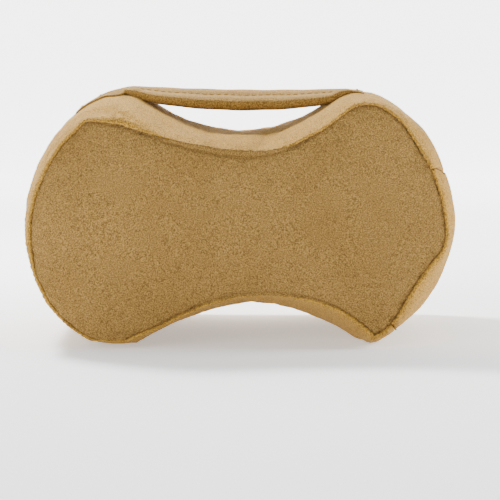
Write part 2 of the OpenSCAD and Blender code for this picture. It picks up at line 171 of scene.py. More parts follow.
# ---------------------------------------------------------------- the cover's surface
# How far the front seam stands in from the outline, in mm: the cover sits a little askew on its foam.
# Each place is an arc of the outline and a share of its length. The insets are rounded from a fit
# of the seam's places in the photo.
SEAM_PLACES = [
    (0, 0.0, 13.0), (0, 0.5, 11.3), (0, 0.8, 7.8),                       # right end, above the cross seam
    (1, 0.5, 7.4),                                                        # upper right lobe
    (2, 0.15, 8.0), (2, 0.35, 10.6), (2, 0.8, 11.0), (2, 0.9, 13.3),      # recess in the top
    (3, 0.0, 17.0), (3, 0.5, 18.0), (3, 1.0, 17.0),                       # upper left lobe
    (4, 0.045, 12.2), (4, 0.065, 10.3), (4, 0.11, 10.4),                  # left end, high up
    (4, 0.3, 10.8), (4, 0.5, 9.0), (4, 0.77, 6.2), (4, 0.9, 6.8),         # left end
    (5, 0.0, 9.8), (5, 1.0, 10.6),                                        # lower left lobe
    (6, 0.12, 7.2), (6, 0.5, 11.0), (6, 0.9, 14.2),                       # recess underneath
    (7, 0.7, 12.5), (8, 0.8, 13.3),                                       # lower right lobe
    (9, 0.15, 17.5), (9, 0.45, 17.6), (9, 0.6, 12.5), (9, 0.85, 12.8),    # right end, beside the zip
]


def smooth_interp(t, xs, ys):
    """A smooth curve through points, with slopes taken from their neighbours."""
    slope = np.gradient(ys, xs)
    k = np.clip(np.searchsorted(xs, t, side="right") - 1, 0, len(xs) - 2)
    h = xs[k + 1] - xs[k]
    f = (t - xs[k]) / h
    return ((2 * f ** 3 - 3 * f ** 2 + 1) * ys[k] + (f ** 3 - 2 * f ** 2 + f) * h * slope[k]
            + (-2 * f ** 3 + 3 * f ** 2) * ys[k + 1] + (f ** 3 - f ** 2) * h * slope[k + 1])


def seam_table():
    places = np.array([ARC_ENDS[k] + share * (ARC_ENDS[k + 1] - ARC_ENDS[k]) for k, share, _ in SEAM_PLACES])
    insets = np.array([inset for _, _, inset in SEAM_PLACES]) / 1000 - CREASE
    turns = [places - PERIMETER, places, places + PERIMETER]
    return np.concatenate(turns), np.tile(insets, 3)


SEAM_XS, SEAM_YS = seam_table()
REAR_WANDER, FRONT_WANDER, RAGGED = 0.0008, 0.00015, 0.00028


def seam_inset(s, front):
    """How far a seam stands in from the outline."""
    if not front:
        return CROWN + REAR_WANDER * ripple(s, (3, 5, 7), 21)
    ragged = FRONT_WANDER * ripple(s, (19, 27, 41), 22) + RAGGED * ripple(s, (149, 193, 257), 23)
    return smooth_interp(np.mod(s, PERIMETER), SEAM_XS, SEAM_YS) + ragged


def crown_share(y):
    """The side's turn inwards at depth y: 0 at mid-depth, 1 at a seam."""
    return 1 - np.maximum(0, np.cos(math.pi / 2 * np.clip(np.abs(y) / SEAM_Y, 0, 1))) ** CROWN_POWER


def zip_dip(s, y):
    """Depth of the valley along the zip."""
    along = np.clip(np.minimum(s - ZIP_START, PERIMETER - s) / ZIP_DIP_END, 0, 1)
    across = np.clip((np.abs(y) - ZIP_GAP) / ZIP_VALLEY_W, 0, 1)
    return ZIP_VALLEY * along * (1 + np.cos(math.pi * across)) / 2


def keep_above_floor(z, y):
    """Presses what would lie below the floor flat on it; towards the seams the cover lifts off the floor."""
    lifted = SEAM_LIFT * np.clip((np.abs(y) - REST_Y) / (SEAM_Y - REST_Y), 0, 1) ** 1.5
    z = z - lifted
    rounding = FLOOR_SOFT ** 2 / (FLOOR_SOFT + np.maximum(z, 0) * 4)
    pressed = z / 2 + np.sqrt((z / 2) ** 2 + FLOOR_SOFT ** 2) - rounding
    return pressed + lifted


PUCKER_TURNS, PUCKER_REACH, PUCKER_START = (97, 131, 173, 227, 283), 0.004, 0.0008
JOIN_REACH, JOIN_HOLLOW, JOIN_WAVE = 0.007, 0.0022, 0.011


def pucker(s, e, seed):
    """Small gathers beside a seam, at distance e from it."""
    wave = ripple(s, PUCKER_TURNS, seed)
    patch = 0.6 + 0.3 * ripple(s, (5, 8, 11), seed + 1) + 0.8 * bump_at(s, ARC_ENDS[8], 0.03)
    patch = patch - 0.5 * bump_at(s, arc_middle(4) + 0.03, 0.08)
    rise = np.exp(-np.abs(e) / PUCKER_REACH) - np.exp(-np.abs(e) / PUCKER_START)
    return (0.35 - np.abs(wave)) * np.clip(patch, 0.15, 1.6) * rise


def upper_join(y):
    """How far up the outline the upper cross seam runs at depth y."""
    return JOIN_CURVE * (y / SEAM_Y) ** 2


def join_pull(s, y):
    """Gathers that run away from the two cross seams."""
    total = 0
    for place, seed in ((upper_join(y), 81), (ZIP_START, 91)):
        d = np.abs(np.mod(s - place + PERIMETER / 2, PERIMETER) - PERIMETER / 2)
        wave = mottle(y, 0.25 * d, JOIN_WAVE, seed, 5)
        gather = (0.3 - np.abs(wave)) * np.exp(-d / JOIN_REACH)
        total = total + gather - 0.7 * np.exp(-(d / JOIN_HOLLOW) ** 2)
    return total


# Heights of the side's slow waves, dimples, seam gathers and cross-seam gathers, and the first two's lengths
SIDE_WAVE, SIDE_DIMPLE, SIDE_PUCKER, JOIN_GATHER = 0.0005, 0.00014, 0.0018, 0.0005
SIDE_WAVE_L, SIDE_DIMPLE_L = 0.045, 0.014
CALM = 0.006             # the waves die out this near a seam


def side_surface(s, y, lift=0.0, waves=True):
    """Points of the cover's side at distances s along the outline and depths y."""
    p, n = outline(s)
    inset = np.where(y < 0, seam_inset(s, True), seam_inset(s, False))
    e = SEAM_Y - np.abs(y)
    out = lift - inset * crown_share(y) - zip_dip(s, y)
    if waves:
        away = 1 - np.exp(-e / CALM)
        out = out + SIDE_WAVE * away * mottle(s, y, SIDE_WAVE_L, 31)
        out = out + SIDE_DIMPLE * away * mottle(s, y, SIDE_DIMPLE_L, 32)
        out = out + SIDE_PUCKER * np.where(y < 0, pucker(s, e, 41), pucker(s, e, 51))
        out = out + JOIN_GATHER * away * join_pull(s, y)
    q = p + n * out[..., None]
    return np.stack([q[..., 0], y + 0 * s, keep_above_floor(q[..., 1], y)], -1)


# ---------------------------------------------------------------- meshes
def add_mesh(name, verts, faces, material, body, nodes=()):
    """A visible piece from points and faces, riding on a body unless that is None."""
    mesh = bpy.data.meshes.new(name)
    mesh.from_pydata([tuple(v) for v in verts], [], faces)
    mesh.validate()
    mesh.shade_smooth()
    mesh.materials.append(material)
    obj = bpy.data.objects.new(name, mesh)
    bpy.context.scene.collection.objects.link(obj)
    if body:
        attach(obj, body)
    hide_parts(*nodes)
    return obj


def grid_faces(rows, cols, wrap=False, flip=False):
    """Quads of a grid of points, joined into a tube with wrap."""
    faces = []
    for i in range(rows - 1):
        for j in range(cols if wrap else cols - 1):
            a, b = i * cols + j, i * cols + (j + 1) % cols
            quad = (a, b, b + cols, a + cols)
            faces.append(quad[::-1] if flip else quad)
    return faces


def tube_faces(rings, n, closed=(True, True)):
    """Faces of a tube of rings of n points, closed at its first and last ring where told."""
    faces = grid_faces(rings, n, wrap=True)
    if closed[0]:
        faces.append(tuple(range(n))[::-1])
    if closed[1]:
        faces.append(tuple(range((rings - 1) * n, rings * n)))
    return faces


def graded(low, high, count, fine=0.55):
    """Values from low to high, closer together near both ends."""
    t = np.linspace(0, 1, count)
    return low + (high - low) * ((1 - fine) * t + fine * (1 - np.cos(math.pi * t)) / 2)


CLOTH_FRAMES, CLOTH_QUALITY, CLOTH_PRESSURE, CLOTH_BENDING = 20, 5, 4.0, 0.3
CLOTH_STEP = 3           # every third row and column takes part in the simulation
MOST_MOVE = 0.0040
GROWTH = 0.008           # the share by which the cloth is larger than the space it starts in
SWELL, SWELL_W = 0.0012, 0.02    # the side starts this much too small, and the simulation fills it out
OVERHANG, OVERHANG_E = 0.0010, 0.0014    # the front panel bulges over its seam at the lower left


def settle(points, flip):
    """Cloth simulation of a grid of points held round its rim: how far each point moves, capped."""
    rows, cols = points.shape[:2]
    mesh = bpy.data.meshes.new("cloth")
    mesh.from_pydata([tuple(v) for v in points.reshape(-1, 3)], [], grid_faces(rows, cols, flip=flip))
    obj = bpy.data.objects.new("cloth", mesh)
    bpy.context.scene.collection.objects.link(obj)
    index = np.arange(rows * cols).reshape(rows, cols)
    rim = np.unique(np.concatenate([index[0], index[-1], index[:, 0], index[:, -1]]))
    held = obj.vertex_groups.new(name="held")
    held.add([int(i) for i in rim], 1.0, "REPLACE")
    cloth = obj.modifiers.new("cloth", "CLOTH")
    cloth.point_cache.frame_end = CLOTH_FRAMES
    cloth.collision_settings.use_collision = False
    settings = cloth.settings
    settings.quality = CLOTH_QUALITY
    settings.vertex_group_mass = "held"
    settings.shrink_min = -GROWTH
    settings.use_pressure = True
    settings.uniform_pressure_force = CLOTH_PRESSURE
    settings.effector_weights.gravity = 0.0
    settings.bending_stiffness = CLOTH_BENDING
    for frame_number in range(1, CLOTH_FRAMES + 1):
        bpy.context.scene.frame_set(frame_number)
    shape = obj.evaluated_get(bpy.context.evaluated_depsgraph_get()).data
    moved = np.empty(len(shape.vertices) * 3)
    shape.vertices.foreach_get("co", moved)
    moved = moved.reshape(rows, cols, 3) - points
    bpy.data.objects.remove(obj)
    bpy.context.scene.frame_set(1)
    size = np.linalg.norm(moved, axis=-1, keepdims=True)
    return moved * MOST_MOVE / (MOST_MOVE + size)


def spread(coarse, rows_at, cols_at):
    """Values of a coarse grid at fractional rows and columns of it."""
    r0 = np.clip(rows_at.astype(int), 0, coarse.shape[0] - 2)
    c0 = np.clip(cols_at.astype(int), 0, coarse.shape[1] - 2)
    fr, fc = (rows_at - r0)[:, None, None], (cols_at - c0)[None, :, None]
    fr, fc = fr * fr * (3 - 2 * fr), fc * fc * (3 - 2 * fc)
    a, b = coarse[np.ix_(r0, c0)], coarse[np.ix_(r0, c0 + 1)]
    c, d = coarse[np.ix_(r0 + 1, c0)], coarse[np.ix_(r0 + 1, c0 + 1)]
    return (1 - fr) * ((1 - fc) * a + fc * b) + fr * ((1 - fc) * c + fc * d)


def relaxed(points, flip):
    """The points with the move that a cloth simulation of a coarser grid gives them."""
    rows, cols = points.shape[:2]
    rows_kept = np.unique(np.append(np.arange(0, rows, CLOTH_STEP), rows - 1))
    cols_kept = np.unique(np.append(np.arange(0, cols, CLOTH_STEP), cols - 1))
    move = settle(points[np.ix_(rows_kept, cols_kept)], flip)
    return points + spread(move, np.interp(np.arange(rows), rows_kept, np.arange(len(rows_kept))),
                           np.interp(np.arange(cols), cols_kept, np.arange(len(cols_kept))))


def turned_edge(edge, inward, deep, folded):
    """Rows that turn a strip's edge in: a short fold beside the zip, or a roll and a hem at a seam."""
    if folded:
        return [edge + inward * FOLD_STEP * k for k in range(1, 4)]
    rows = [edge + HEM_ROLL * (inward * math.sin(a) + deep * (1 - math.cos(a)))
            for a in (0.4, 0.8, 1.2, math.pi / 2)]
    return rows + [rows[-1] + deep * HEM_DEPTH]


def tucked(edge):
    """A strip's end, drawn in towards the middle of the cushion at a cross seam."""
    inward = np.array([0, 0, END_Z]) - edge
    inward = inward / np.linalg.norm(inward, axis=-1, keepdims=True)
    return edge + inward * HEM_DEPTH


def strip_places(s0, s1, y0, y1, cols, rows):
    """Distances along the outline and depths of a strip's points: its end at the upper cross seam curves."""
    share, grid_y = np.meshgrid(np.linspace(0, 1, cols), graded(y0, y1, rows))
    low, high = s0, s1
    if s0 < ZIP_START / 2:
        low = s0 + upper_join(grid_y)
    else:
        high = s1 + upper_join(grid_y)
    return low + (high - low) * share, grid_y


def side_strip(name, s0, s1, y0, y1, cols, rows, material, nodes, fold_low=False, fold_high=False):
    """A strip of the cover's side, with its edges turned in at the seams or folded beside the zip."""
    grid_s, grid_y = strip_places(s0, s1, y0, y1, cols, rows)
    from_rim = SEAM_Y - np.abs(grid_y)
    if fold_low or fold_high:
        from_rim = np.minimum(from_rim, np.abs(grid_y) - ZIP_GAP)
    start = side_surface(grid_s, grid_y, -SWELL * np.minimum(1, from_rim / SWELL_W))
    pts = relaxed(start, True)
    pts[..., 2] = np.maximum(pts[..., 2], 0)
    rows_out = list(pts)
    for at_end, depth, fold in ((0, y0, fold_low), (-1, y1, fold_high)):
        _, n = outline(grid_s[at_end])
        inward = -np.stack([n[:, 0], 0 * n[:, 0], n[:, 1]], -1)
        deep = np.array([0, 1 if depth < 0 else -1, 0])
        turned = turned_edge(rows_out[at_end], inward, deep, fold)
        rows_out = turned[::-1] + rows_out if at_end == 0 else rows_out + turned
    pts = np.array(rows_out)
    pts = np.concatenate([tucked(pts[:, :1]), pts, tucked(pts[:, -1:])], 1)
    faces = grid_faces(*pts.shape[:2], flip=True)
    return add_mesh(name, pts.reshape(-1, 3), faces, material, "cushion", nodes)


def boundary_distance(x, z, s_edge, pts_edge):
    """Nearest distance to the seam, and where along the seam that is."""
    flat = np.stack([x.ravel(), z.ravel()], -1)
    best = np.full(len(flat), np.inf)
    where = np.zeros(len(flat))
    for a in range(0, len(flat), 4000):
        d = np.linalg.norm(flat[a:a + 4000, None] - pts_edge[None], axis=-1)
        i = d.argmin(1)
        best[a:a + 4000] = d[np.arange(len(d)), i]
        where[a:a + 4000] = s_edge[i]
    return best.reshape(x.shape), where.reshape(x.shape)


def panel_seam(s, front):
    """A face panel's edge: x and z at distances s along the outline."""
    p, n = outline(s)
    inset = seam_inset(s, front) + HEM_ROLL + PANEL_GAP
    q = p - n * inset[..., None]
    return np.stack([q[..., 0], keep_above_floor(q[..., 1], SEAM_Y)], -1)


def panel_grid(front, cols, rows):
    """Points in x and z that fill a face panel between its four runs of seam, from lobe to lobe."""
    s_tr, s_tl, s_bl, s_br = (arc_middle(k) for k in (1, 3, 5, 7))
    u, v = graded(0, 1, cols), graded(0, 1, rows)
    top = panel_seam(s_tl + (s_tr - s_tl) * u, front)
    base = panel_seam(s_bl + (s_br - s_bl) * u, front)
    left = panel_seam(s_bl + (s_tl - s_bl) * v, front)
    right = panel_seam(s_br + (s_tr + PERIMETER - s_br) * v, front)
    uu, vv = u[None, :, None], v[:, None, None]
    return ((1 - vv) * base[None] + vv * top[None] + (1 - uu) * left[:, None] + uu * right[:, None]
            - ((1 - uu) * (1 - vv) * base[0] + uu * (1 - vv) * base[-1]
               + (1 - uu) * vv * top[0] + uu * vv * top[-1]))


# Heights and lengths of a face panel's slow waves and dimples, and the height of its seam gathers
FACE_WAVE, FACE_WAVE_L, FACE_DIMPLE, FACE_DIMPLE_L, FACE_PUCKER = 0.0005, 0.060, 0.00010, 0.016, 0.0015
FACE_CALM = 0.008
FACE_COLS, FACE_ROWS, EDGE_POINTS = 230, 150, 1400


def panel_depth(x, z, e, where, front):
    """How far a face panel stands from mid-depth: its dome, its rounded edge and its small unevenness."""
    dome = DOME * (1 - (1 - np.clip(e / DOME_W, 0, 1)) ** 2.2)
    roll = EDGE_ROLL - np.sqrt(EDGE_ROLL ** 2 - np.clip(EDGE_ROLL - e, 0, EDGE_ROLL) ** 2)
    away = 1 - np.exp(-e / FACE_CALM)
    relief = FACE_WAVE * away * mottle(x, z, FACE_WAVE_L, 61 if front else 71)
    relief = relief + FACE_DIMPLE * away * mottle(x, z, FACE_DIMPLE_L, 62 if front else 72)
    relief = relief + FACE_PUCKER * pucker(where, e, 41 if front else 51)
    return SEAM_Y + dome - roll + relief


def add_hem(verts, faces, rows, cols, front):
    """Turns a grid's edge straight back into the cover, all round."""
    ring = ([j for j in range(cols)] + [i * cols + cols - 1 for i in range(1, rows)]
            + [(rows - 1) * cols + j for j in range(cols - 2, -1, -1)]
            + [i * cols for i in range(rows - 2, 0, -1)])
    hem = verts[ring] + np.array([0, HEM_DEPTH if front else -HEM_DEPTH, 0])
    start = len(verts)
    for i, a in enumerate(ring):
        j = (i + 1) % len(ring)
        quad = (ring[j], a, start + i, start + j)
        faces.append(quad if front else quad[::-1])
    return np.concatenate([verts, hem]), faces


def face_panel(name, front, material, nodes):
    """A face panel, swelling away from its seam."""
    flat = panel_grid(front, FACE_COLS, FACE_ROWS)
    s_edge = np.linspace(0, PERIMETER, EDGE_POINTS, endpoint=False)
    x, z = flat[..., 0], flat[..., 1]
    e, where = boundary_distance(x, z, s_edge, panel_seam(s_edge, front))
    _, out_dir = outline(where)
    at_lower_left = bump_at(where, arc_middle(4) + 0.045, 0.075)
    over = OVERHANG * front * at_lower_left * (e / OVERHANG_E) * np.exp(1 - e / OVERHANG_E)
    x, z = x + out_dir[..., 0] * over, z + out_dir[..., 1] * over
    depth = panel_depth(x, z, e, where, front)
    pts = relaxed(np.stack([x, -depth if front else depth, z], -1), not front)
    faces = grid_faces(FACE_ROWS, FACE_COLS, flip=not front)
    verts, faces = add_hem(pts.reshape(-1, 3), faces, FACE_ROWS, FACE_COLS, front)
    return add_mesh(name, verts, faces, material, "cushion", nodes)


# ---------------------------------------------------------------- materials
class Nodes:
    """A short way to lay out a material's nodes."""

    def __init__(self, name):
        self.mat = bpy.data.materials.new(name)
        self.mat.use_nodes = True
        self.tree = self.mat.node_tree
        self.bsdf = self.tree.nodes["Principled BSDF"]
        self.coord = self.tree.nodes.new("ShaderNodeTexCoord").outputs["Object"]

    def add(self, kind, **inputs):
        node = self.tree.nodes.new(kind)
        for key, value in inputs.items():
            socket = node.inputs[key.replace("_", " ")]
            if isinstance(value, bpy.types.NodeSocket):
                self.tree.links.new(value, socket)
            else:
                socket.default_value = value
        return node

    def noise(self, scale, detail=2.0, rough=0.5):
        return self.add("ShaderNodeTexNoise", Vector=self.coord, Scale=scale,
                        Detail=detail, Roughness=rough).outputs["Fac"]

    def ramp(self, fac, stops):
        node = self.add("ShaderNodeValToRGB", Fac=fac)
        elements = node.color_ramp.elements
        while len(elements) < len(stops):
            elements.new(0.5)
        for element, (position, colour) in zip(elements, stops):
            element.position = position
            element.color = (*colour, 1)
        return node.outputs["Color"]

    def mix(self, fac, a, b, blend="MIX"):
        node = self.tree.nodes.new("ShaderNodeMix")
        node.data_type = "RGBA"
        node.blend_type = blend
        for index, value in ((0, fac), (6, a), (7, b)):
            if isinstance(value, bpy.types.NodeSocket):
                self.tree.links.new(value, node.inputs[index])
            elif index == 0:
                node.inputs[0].default_value = value
            else:
                node.inputs[index].default_value = (*value, 1)
        return node.outputs[2]

    def math(self, op, a, b):
        node = self.tree.nodes.new("ShaderNodeMath")
        node.operation = op
        for i, value in enumerate((a, b)):
            if isinstance(value, bpy.types.NodeSocket):
                self.tree.links.new(value, node.inputs[i])
            else:
                node.inputs[i].default_value = value
        return node.outputs[0]

    def bump(self, height, strength, distance, normal=None):
        node = self.add("ShaderNodeBump", Height=height, Strength=strength, Distance=distance)
        if normal is not None:
            self.tree.links.new(normal, node.inputs["Normal"])
        return node.outputs["Normal"]

    def set(self, **inputs):
        for key, value in inputs.items():
            socket = self.bsdf.inputs[key.replace("_", " ")]
            if isinstance(value, bpy.types.NodeSocket):
                self.tree.links.new(value, socket)
            else:
                socket.default_value = value
        return self.mat


def scaled(colour, share):
    return tuple(c * share for c in colour)


def velour(name, colour, clump=620.0, contrast=0.30, relief=0.0006):
    """Short-pile velour: clumps of pile, fine fibre, and slow changes where the nap lies differently."""
    m = Nodes(name)
    clumps = m.noise(clump, 2.0, 0.5)
    fibre = m.noise(clump * 3.1, 2.0, 0.6)
    nap = m.noise(20.0, 3.0, 0.55)
    body = m.ramp(clumps, [(0.36, scaled(colour, 1 - contrast)), (0.50, colour),
                           (0.64, scaled(colour, 1 + contrast))])
    shade = m.ramp(nap, [(0.30, (0.90, 0.88, 0.84)), (0.52, (1.0, 1.0, 1.0)), (0.72, (1.08, 1.08, 1.10))])
    toned = m.mix(1.0, body, shade, "MULTIPLY")
    low, high = 1 - 0.8 * contrast, 1 + 0.5 * contrast
    flecks = m.ramp(fibre, [(0.34, (low, low, low * 0.96)), (0.55, (1.0, 1.0, 1.0)),
                            (0.72, (high, high, high))])
    m.set(Base_Color=m.mix(1.0, toned, flecks, "MULTIPLY"))
    rough = m.bump(clumps, 0.7, relief)
    return m.set(Normal=m.bump(fibre, 0.45, relief * 0.4, rough), Roughness=0.95,
                 Specular_IOR_Level=0.1, Sheen_Weight=0.12, Sheen_Roughness=0.5,
                 Sheen_Tint=(1.0, 0.78, 0.45, 1.0))


def thread_material(name, colour):
    """Twisted sewing thread."""
    m = Nodes(name)
    twist = m.noise(2600.0, 2.0, 0.5)
    m.set(Base_Color=m.ramp(twist, [(0.35, scaled(colour, 0.75)), (0.65, scaled(colour, 1.2))]))
    return m.set(Normal=m.bump(twist, 0.5, 0.0002), Roughness=0.85, Specular_IOR_Level=0.12)


def foam_material(name):
    """Open-cell foam."""
    m = Nodes(name)
    cells = m.add("ShaderNodeTexVoronoi", Vector=m.coord, Scale=900.0).outputs["Distance"]
    m.set(Base_Color=m.ramp(cells, [(0.15, (0.62, 0.55, 0.36)), (0.6, (0.86, 0.80, 0.60))]))
    return m.set(Normal=m.bump(cells, 0.7, 0.0006), Roughness=0.95, Specular_IOR_Level=0.1)


def tape_material(name, colour):
    """Woven zip tape: fine diagonal ribs."""
    m = Nodes(name)
    weave = m.tree.nodes.new("ShaderNodeTexWave")
    weave.bands_direction = "DIAGONAL"
    weave.inputs["Scale"].default_value = 420.0
    m.tree.links.new(m.coord, weave.inputs["Vector"])
    ribs = weave.outputs["Fac"]
    m.set(Base_Color=m.ramp(ribs, [(0.2, scaled(colour, 0.72)), (0.8, scaled(colour, 1.15))]))
    return m.set(Normal=m.bump(ribs, 0.6, 0.0003), Roughness=0.8, Specular_IOR_Level=0.2)


def enamel_material(name, colour, metallic, roughness):
    """Coloured zip metal or plastic, with fine wear."""
    m = Nodes(name)
    wear = m.noise(900.0, 4.0, 0.6)
    m.set(Base_Color=m.ramp(wear, [(0.4, scaled(colour, 0.85)), (0.7, scaled(colour, 1.15))]))
    return m.set(Normal=m.bump(wear, 0.12, 0.0001), Metallic=metallic, Roughness=roughness)


TAN = (0.276, 0.161, 0.045)
# the side's velour is lighter than the face panels' partly because it is a smoother fabric and partly as
# painted light, for the light it catches from above
SIDE_TAN_WITH_PAINTED_LIGHT = (0.405, 0.226, 0.039)
# the strap is the same velour as the side; its darker colour is painted shade, matched to the shaded roll of
# its front edge
SHADED_STRAP_TAN = (0.305, 0.176, 0.043)
velour_face = velour("velour_face", TAN, clump=1600.0, contrast=0.50)
velour_side = velour("velour_side", SIDE_TAN_WITH_PAINTED_LIGHT, clump=1300.0, contrast=0.52)
# the strap's velour takes the painted-shade strap colour
strap_velour = velour("strap_velour", SHADED_STRAP_TAN, clump=1300.0, contrast=0.42)
thread_tan = thread_material("thread_tan", (0.20, 0.105, 0.028))
# the strap's thread is a darker share of the painted-shade strap colour
thread_strap = thread_material("thread_strap", scaled(SHADED_STRAP_TAN, 0.8))
foam = foam_material("foam_open_cell")
elastic = tape_material("elastic_knit", (0.75, 0.68, 0.52))
zip_tape = tape_material("zip_tape_weave", (0.27, 0.17, 0.07))
zip_teeth = enamel_material("zip_teeth_nylon", (0.17, 0.098, 0.034), 0.0, 0.5)
zip_metal = enamel_material("zip_metal_enamel", (0.22, 0.13, 0.045), 0.0, 0.4)


def repaint(node, material):
    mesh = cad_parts[node].data
    mesh.materials.clear()
    mesh.materials.append(material)


for node in ("zip_teeth_front", "zip_teeth_rear"):
    repaint(node, zip_teeth)
for node in ("zip_top_stop", "zip_bottom_stop", "zip_slider", "zip_pull_tab"):
    repaint(node, zip_metal)


# ---------------------------------------------------------------- the cover
front_panel = face_panel("front_panel_velour", True, velour_face, ["front_panel"])
rear_panel = face_panel("rear_panel_velour", False, velour_face, ["rear_panel"])
gusset = side_strip("gusset_velour", JOIN, ZIP_START - JOIN, -SEAM_Y, SEAM_Y, 640, 120, velour_side,
                    ["gusset_band"])
zip_front = side_strip("zip_panel_front_velour", ZIP_START + JOIN, PERIMETER - JOIN, -SEAM_Y, -ZIP_GAP,
                       120, 64, velour_side, ["zip_panel_front"], fold_high=True)
zip_rear = side_strip("zip_panel_rear_velour", ZIP_START + JOIN, PERIMETER - JOIN, ZIP_GAP, SEAM_Y,
                      120, 64, velour_side, ["zip_panel_rear"], fold_low=True)


TAPE_COLS, TAPE_ROWS, WEAVE_H, WEAVE_L = 120, 22, 0.00004, 0.0009


def tape_strip(name, side, node):
    """A zip tape, under its panel: two faces of woven tape joined round their edges."""
    s = np.linspace(ZIP_START + TAPE_START, PERIMETER - TAPE_START, TAPE_COLS)
    y = side * np.linspace(TAPE_START, TAPE_START + TAPE_W, TAPE_ROWS)
    grid_s, grid_y = np.meshgrid(s, y)
    weave = WEAVE_H * np.sin(grid_s * FULL_TURN / WEAVE_L)
    top = side_surface(grid_s, grid_y, weave - TAPE_DEPTH, waves=False)
    base = side_surface(grid_s, grid_y, -TAPE_DEPTH - TAPE_T, waves=False)
    loops = np.concatenate([top, base[::-1]], 0)
    rows, cols = loops.shape[:2]
    index = np.arange(rows * cols).reshape(rows, cols)
    faces = []
    for i in range(rows):
        for j in range(cols - 1):
            k = (i + 1) % rows
            faces.append((int(index[i, j]), int(index[k, j]), int(index[k, j + 1]), int(index[i, j + 1])))
    for j in (0, cols - 1):
        for i in range(rows // 2 - 1):
            faces.append((int(index[i, j]), int(index[i + 1, j]), int(index[rows - 2 - i, j]),
                          int(index[rows - 1 - i, j])))
    piece = add_mesh(name, loops.reshape(-1, 3), faces, zip_tape, "cushion", [node])


# ---------------------------------------------------------------- foam
FOAM_COLS, FOAM_ROWS = 240, 40
CAP_SHARES = (0.97, 0.9, 0.75, 0.55, 0.3, 0.05)


def foam_cap(end, side):
    """Rings that close an end of the foam in a shallow dome, from its rim to its middle."""
    middle = np.array([0, 0, END_Z])
    caps = []
    for share in CAP_SHARES:
        ring = middle + (end - middle) * share
        ring[:, 1] = end[:, 1] + side * FOAM_DOME * (1 - share ** 2)
        caps.append(ring)
    return caps


def foam_block():
    """The foam, a little inside the cover all round."""
    s = np.linspace(0, PERIMETER, FOAM_COLS, endpoint=False)
    rings = []
    for y in graded(-SEAM_Y + FOAM_INSET, SEAM_Y - FOAM_INSET, FOAM_ROWS):
        ring = side_surface(s, np.full_like(s, y), -FOAM_INSET, waves=False)
        ring[:, 2] = np.maximum(ring[:, 2], FOAM_INSET)
        rings.append(ring)
    pts = np.array(foam_cap(rings[0], -1)[::-1] + rings + foam_cap(rings[-1], 1))
    faces = tube_faces(*pts.shape[:2])
    return add_mesh("foam_block", pts.reshape(-1, 3), faces, foam, "cushion", ["foam_core"])


foam_block_piece = foam_block()
tape_strip("zip_tape_front_woven", -1, "zip_tape_front")
tape_strip("zip_tape_rear_woven", 1, "zip_tape_rear")


# ---------------------------------------------------------------- stitches
def along(path, count):
    """Evenly spaced points on a path, and its length."""
    step = np.linalg.norm(np.diff(path, axis=0), axis=1)
    d = np.concatenate([[0], np.cumsum(step)])
    t = np.linspace(0, d[-1], count)
    return np.stack([np.interp(t, d, path[:, k]) for k in range(3)], -1), d[-1]


STITCH_PROFILE = np.array([0.45, 0.95, 1.0, 0.95, 0.45])    # thinner where the thread dives into the cloth
STITCH_STEPS, STITCH_SIDES = len(STITCH_PROFILE), 6
STITCH_REACH = 1.25      # five points span four fifths of a stitch's place, so they are drawn out by this


def crossways(axis):
    """Two directions at right angles to an axis and to each other."""
    helper = np.array([0.3, 0.2, 1.0]) if abs(axis[2]) < 0.8 else np.array([1.0, 0.2, 0.3])
    a = np.cross(axis, helper)
    a /= np.linalg.norm(a)
    return a, np.cross(axis, a)


def stitch_points(line, radius):
    """Rings of points round one stitch."""
    axis = line[-1] - line[0]
    a, b = crossways(axis / np.linalg.norm(axis))
    turns = [FULL_TURN * j / STITCH_SIDES for j in range(STITCH_SIDES)]
    return [p + r * (math.cos(w) * a + math.sin(w) * b) for p, r in zip(line, STITCH_PROFILE * radius)
            for w in turns]


def stitch_row(name, path, nodes, body="cushion", length=0.0030, gap=0.0013, radius=THREAD_R,
               material=thread_tan):
    """Separate stitches along a path, each a short tube."""
    _, total = along(path, 2)
    count = max(1, round(total / (length + gap)))
    fine, _ = along(path, count * STITCH_STEPS + 1)
    reach = length / (length + gap) * STITCH_REACH
    one = tube_faces(STITCH_STEPS, STITCH_SIDES)
    verts, faces = [], []
    for k in range(count):
        line = fine[k * STITCH_STEPS:(k + 1) * STITCH_STEPS]
        line = line[2] + (line - line[2]) * reach
        faces += [tuple(len(verts) + i for i in face) for face in one]
        verts += stitch_points(line, radius)
    return add_mesh(name, verts, faces, material, body, nodes)


STITCH_IN, STITCH_BACK = 0.0001, 0.0012    # the seam stitches stand in from the roll and back from the seam
JOIN_SUNK = 0.0007
TOPSTITCH_END, TOPSTITCH_REACH = 0.006, 0.01


def seam_path(front):
    """The line of the stitches between a face panel and the side."""
    s = np.linspace(0, PERIMETER, 900)
    p, n = outline(s)
    q = p - n * (seam_inset(s, front) + HEM_ROLL + STITCH_IN)[:, None]
    side = -1 if front else 1
    y = np.full_like(s, side * (SEAM_Y - STITCH_BACK))
    return np.stack([q[:, 0], y, keep_above_floor(q[:, 1], SEAM_Y)], -1)


def join_path(s, curve=0.0):
    """The line of a cross seam's stitches, sunk between the two panels."""
    y = np.linspace(-SEAM_Y * 0.995, SEAM_Y * 0.995, 200)
    return side_surface(s + curve * upper_join(y), y, -JOIN_SUNK)


def topstitch_path(panel, side):
    """A line on a zip panel, half-way down the valley."""
    tree = BVHTree.FromObject(panel, bpy.context.evaluated_depsgraph_get())
    s = np.linspace(ZIP_START + TOPSTITCH_END, PERIMETER - TOPSTITCH_END, 200)
    y = np.full_like(s, side * (ZIP_GAP + ZIP_VALLEY_W / 2))
    path = side_surface(s, y)
    _, n = outline(s)
    for k in range(len(s)):
        out = np.array([n[k, 0], 0, n[k, 1]])
        start = path[k] + out * TOPSTITCH_REACH
        hit, _, _, _ = tree.ray_cast(tuple(start), tuple(-out), 2 * TOPSTITCH_REACH)
        if hit is not None:
            path[k] = np.array(hit) + out * THREAD_R * 0.6
    return path


